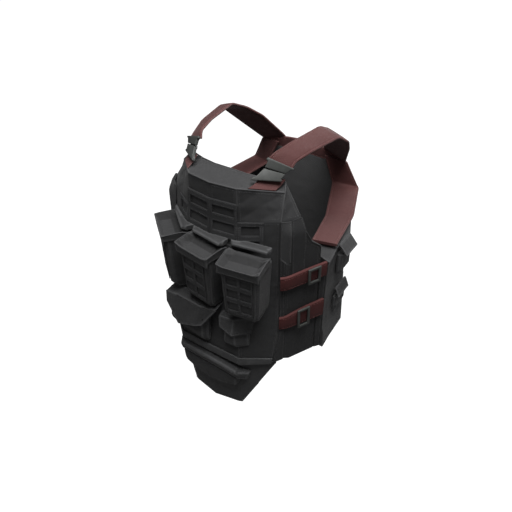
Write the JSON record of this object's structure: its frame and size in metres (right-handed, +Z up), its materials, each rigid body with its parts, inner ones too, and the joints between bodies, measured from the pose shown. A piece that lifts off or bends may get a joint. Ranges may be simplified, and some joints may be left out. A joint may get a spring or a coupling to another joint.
{
  "type": "plate carrier",
  "caption": "Plate carrier with front and back plate bags, padded side panels, shoulder harness with buckles, closed magazine pouches and a hanging lower flap.",
  "frame": {"origin": "midway between the undersides of the two shoulder straps at their highest point, where the carrier hangs on the shoulders", "axes": "+X to the wearer's left, -Y forwards (the magazine pouches face -Y), +Z up"},
  "size_m": [0.4314, 0.4572, 0.626],
  "materials": {
    "canvas": "charcoal woven nylon canvas, matte",
    "dark_canvas": "darker charcoal padded canvas and webbing, matte",
    "harness_webbing": "dark burgundy padded webbing, matte",
    "buckle_plastic": "grey-green moulded nylon, satin"
  },
  "bodies": {
    "root": {"back_bag": "canvas", "back_flap_lower_left": "canvas", "back_flap_lower_right": "canvas", "back_flap_upper_left": "canvas", "back_flap_upper_right": "canvas", "back_pouch_lower_left": "canvas", "back_pouch_lower_right": "canvas", "back_pouch_upper_left": "canvas", "back_pouch_upper_right": "canvas", "back_wrap_left": "canvas", "back_wrap_right": "canvas", "back_yoke": "harness_webbing", "belly_flap": "canvas", "belly_pouch": "canvas", "buckle_plate_left": "buckle_plastic", "buckle_plate_right": "buckle_plastic", "buckle_socket_left": "buckle_plastic", "buckle_socket_right": "buckle_plastic", "chest_webbing": "dark_canvas", "front_panel": "canvas", "groin_flap": "canvas", "groin_pocket": "canvas", "groin_roll": "canvas", "hem_band": "canvas", "mag_body_centre": "canvas", "mag_body_left": "canvas", "mag_body_right": "canvas", "mag_flap_centre": "canvas", "mag_flap_left": "canvas", "mag_flap_right": "canvas", "mag_roll_centre": "canvas", "mag_roll_left": "canvas", "mag_roll_right": "canvas", "mag_webbing_centre": "dark_canvas", "mag_webbing_left": "dark_canvas", "mag_webbing_right": "dark_canvas", "shoulder_strap_left": "harness_webbing", "shoulder_strap_right": "harness_webbing", "side_panel_left": "dark_canvas", "side_panel_right": "dark_canvas", "side_slider_lower_left": "buckle_plastic", "side_slider_lower_right": "buckle_plastic", "side_slider_upper_left": "buckle_plastic", "side_slider_upper_right": "buckle_plastic", "side_strap_lower_left": "harness_webbing", "side_strap_lower_right": "harness_webbing", "side_strap_upper_left": "harness_webbing", "side_strap_upper_right": "harness_webbing", "strap_base_left": "harness_webbing", "strap_base_right": "harness_webbing", "underarm_band_left": "harness_webbing", "underarm_band_right": "harness_webbing", "utility_flap": "canvas", "utility_pouch": "canvas"}
  },
  "joints": []
}
